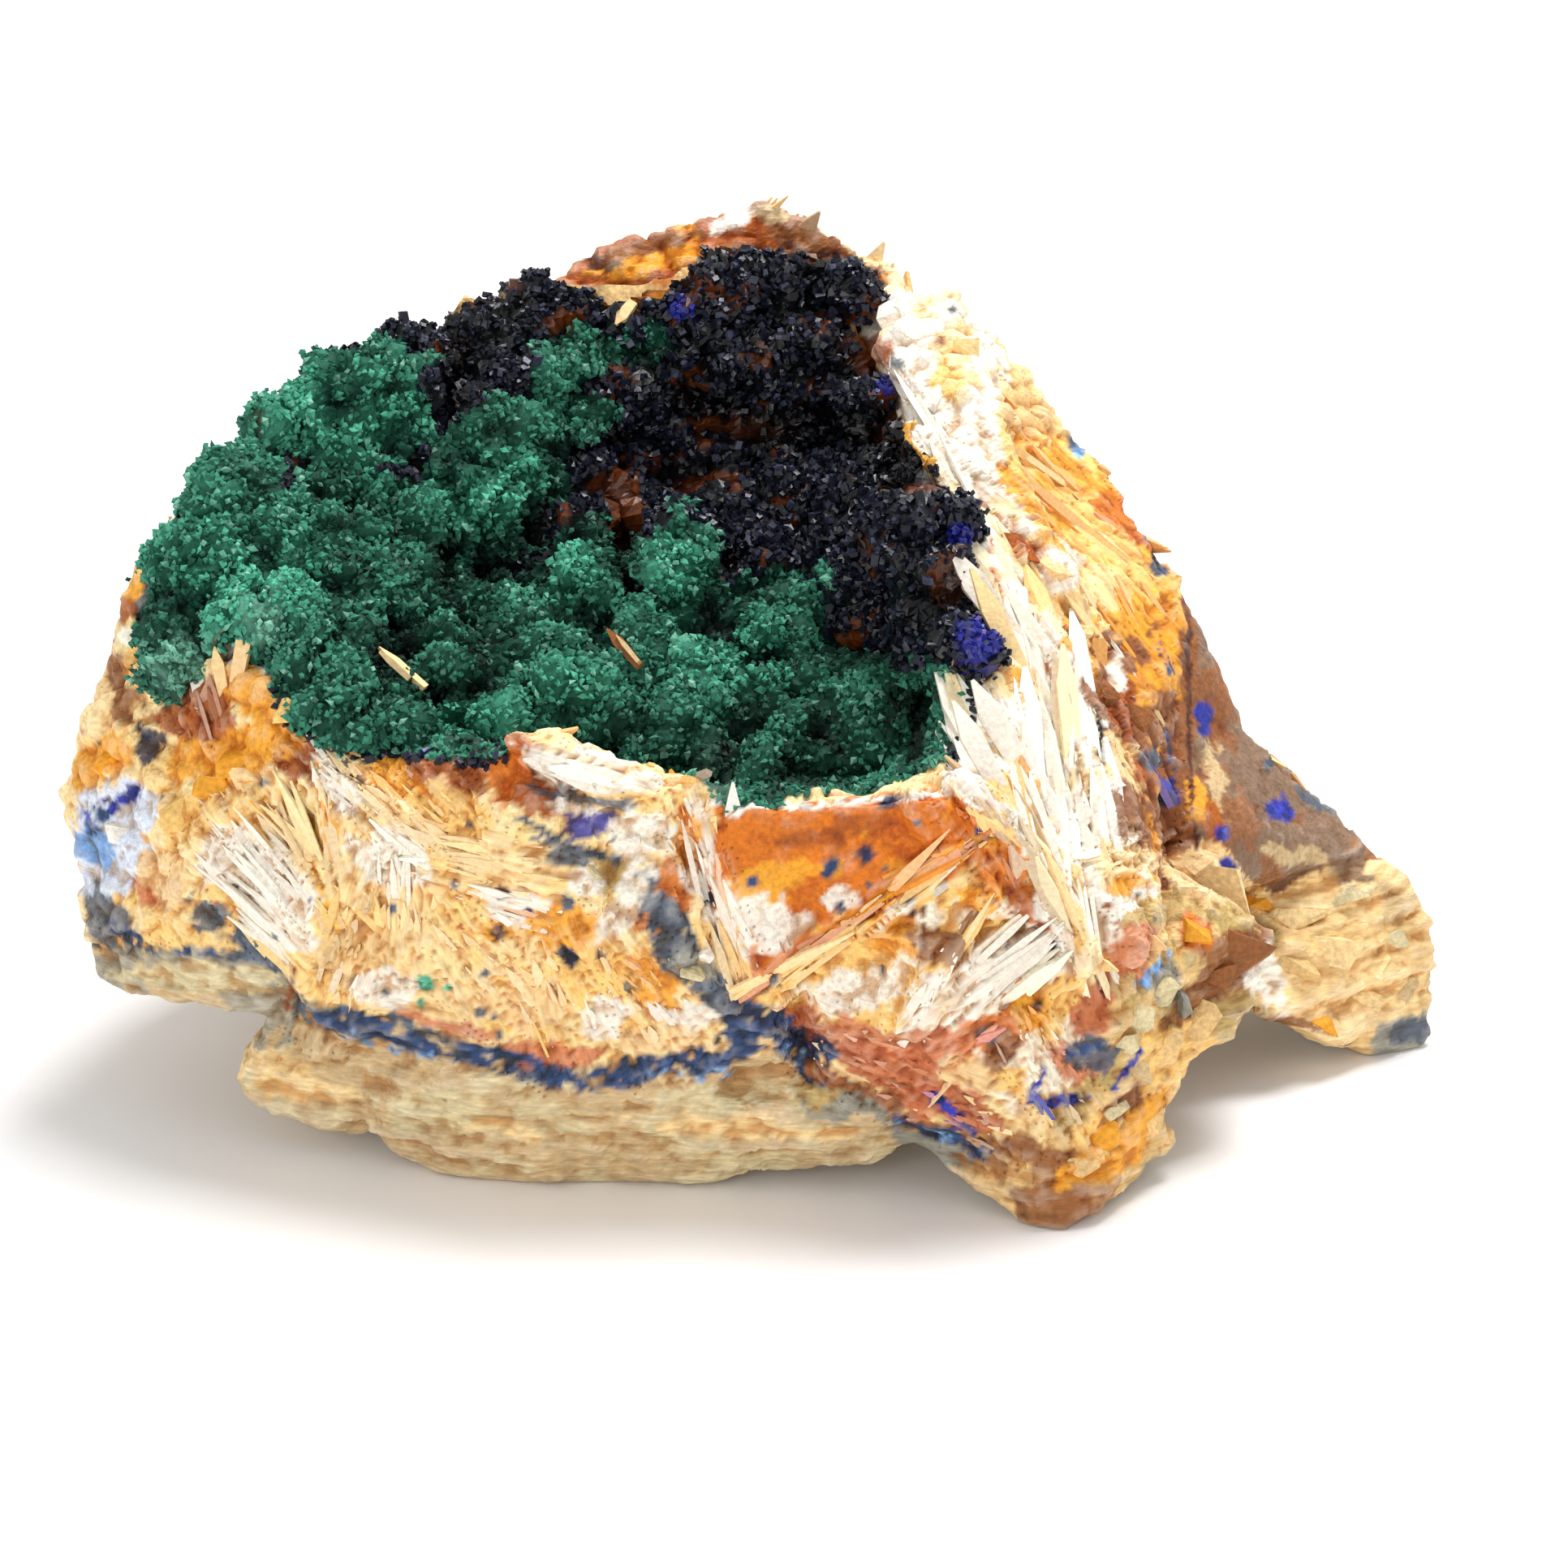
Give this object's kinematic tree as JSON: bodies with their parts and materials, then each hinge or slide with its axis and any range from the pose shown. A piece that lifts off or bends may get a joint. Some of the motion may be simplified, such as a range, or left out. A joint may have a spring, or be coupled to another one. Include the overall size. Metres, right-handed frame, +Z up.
{
  "type": "azurite and malachite specimen",
  "caption": "Broken block of baryte and quartz rock with a shallow hollow on its sloping top, lined with green malachite and dark blue azurite crystals.",
  "frame": {"origin": "bottom centre of the box around the specimen, on the surface it rests on", "axes": "+Z up from the surface it rests on, -Y towards the viewer of the picture, +X to the picture's right, along the longest side"},
  "size_m": [0.088, 0.0604, 0.0512],
  "materials": {
    "matrix": "rough broken baryte, quartz and limonite",
    "malachite_crust": "fine granular crystals",
    "azurite_crust": "small glassy crystals"
  },
  "bodies": {
    "root": {"matrix": "matrix", "malachite_crust": "malachite_crust", "azurite_crust": "azurite_crust"}
  },
  "joints": []
}
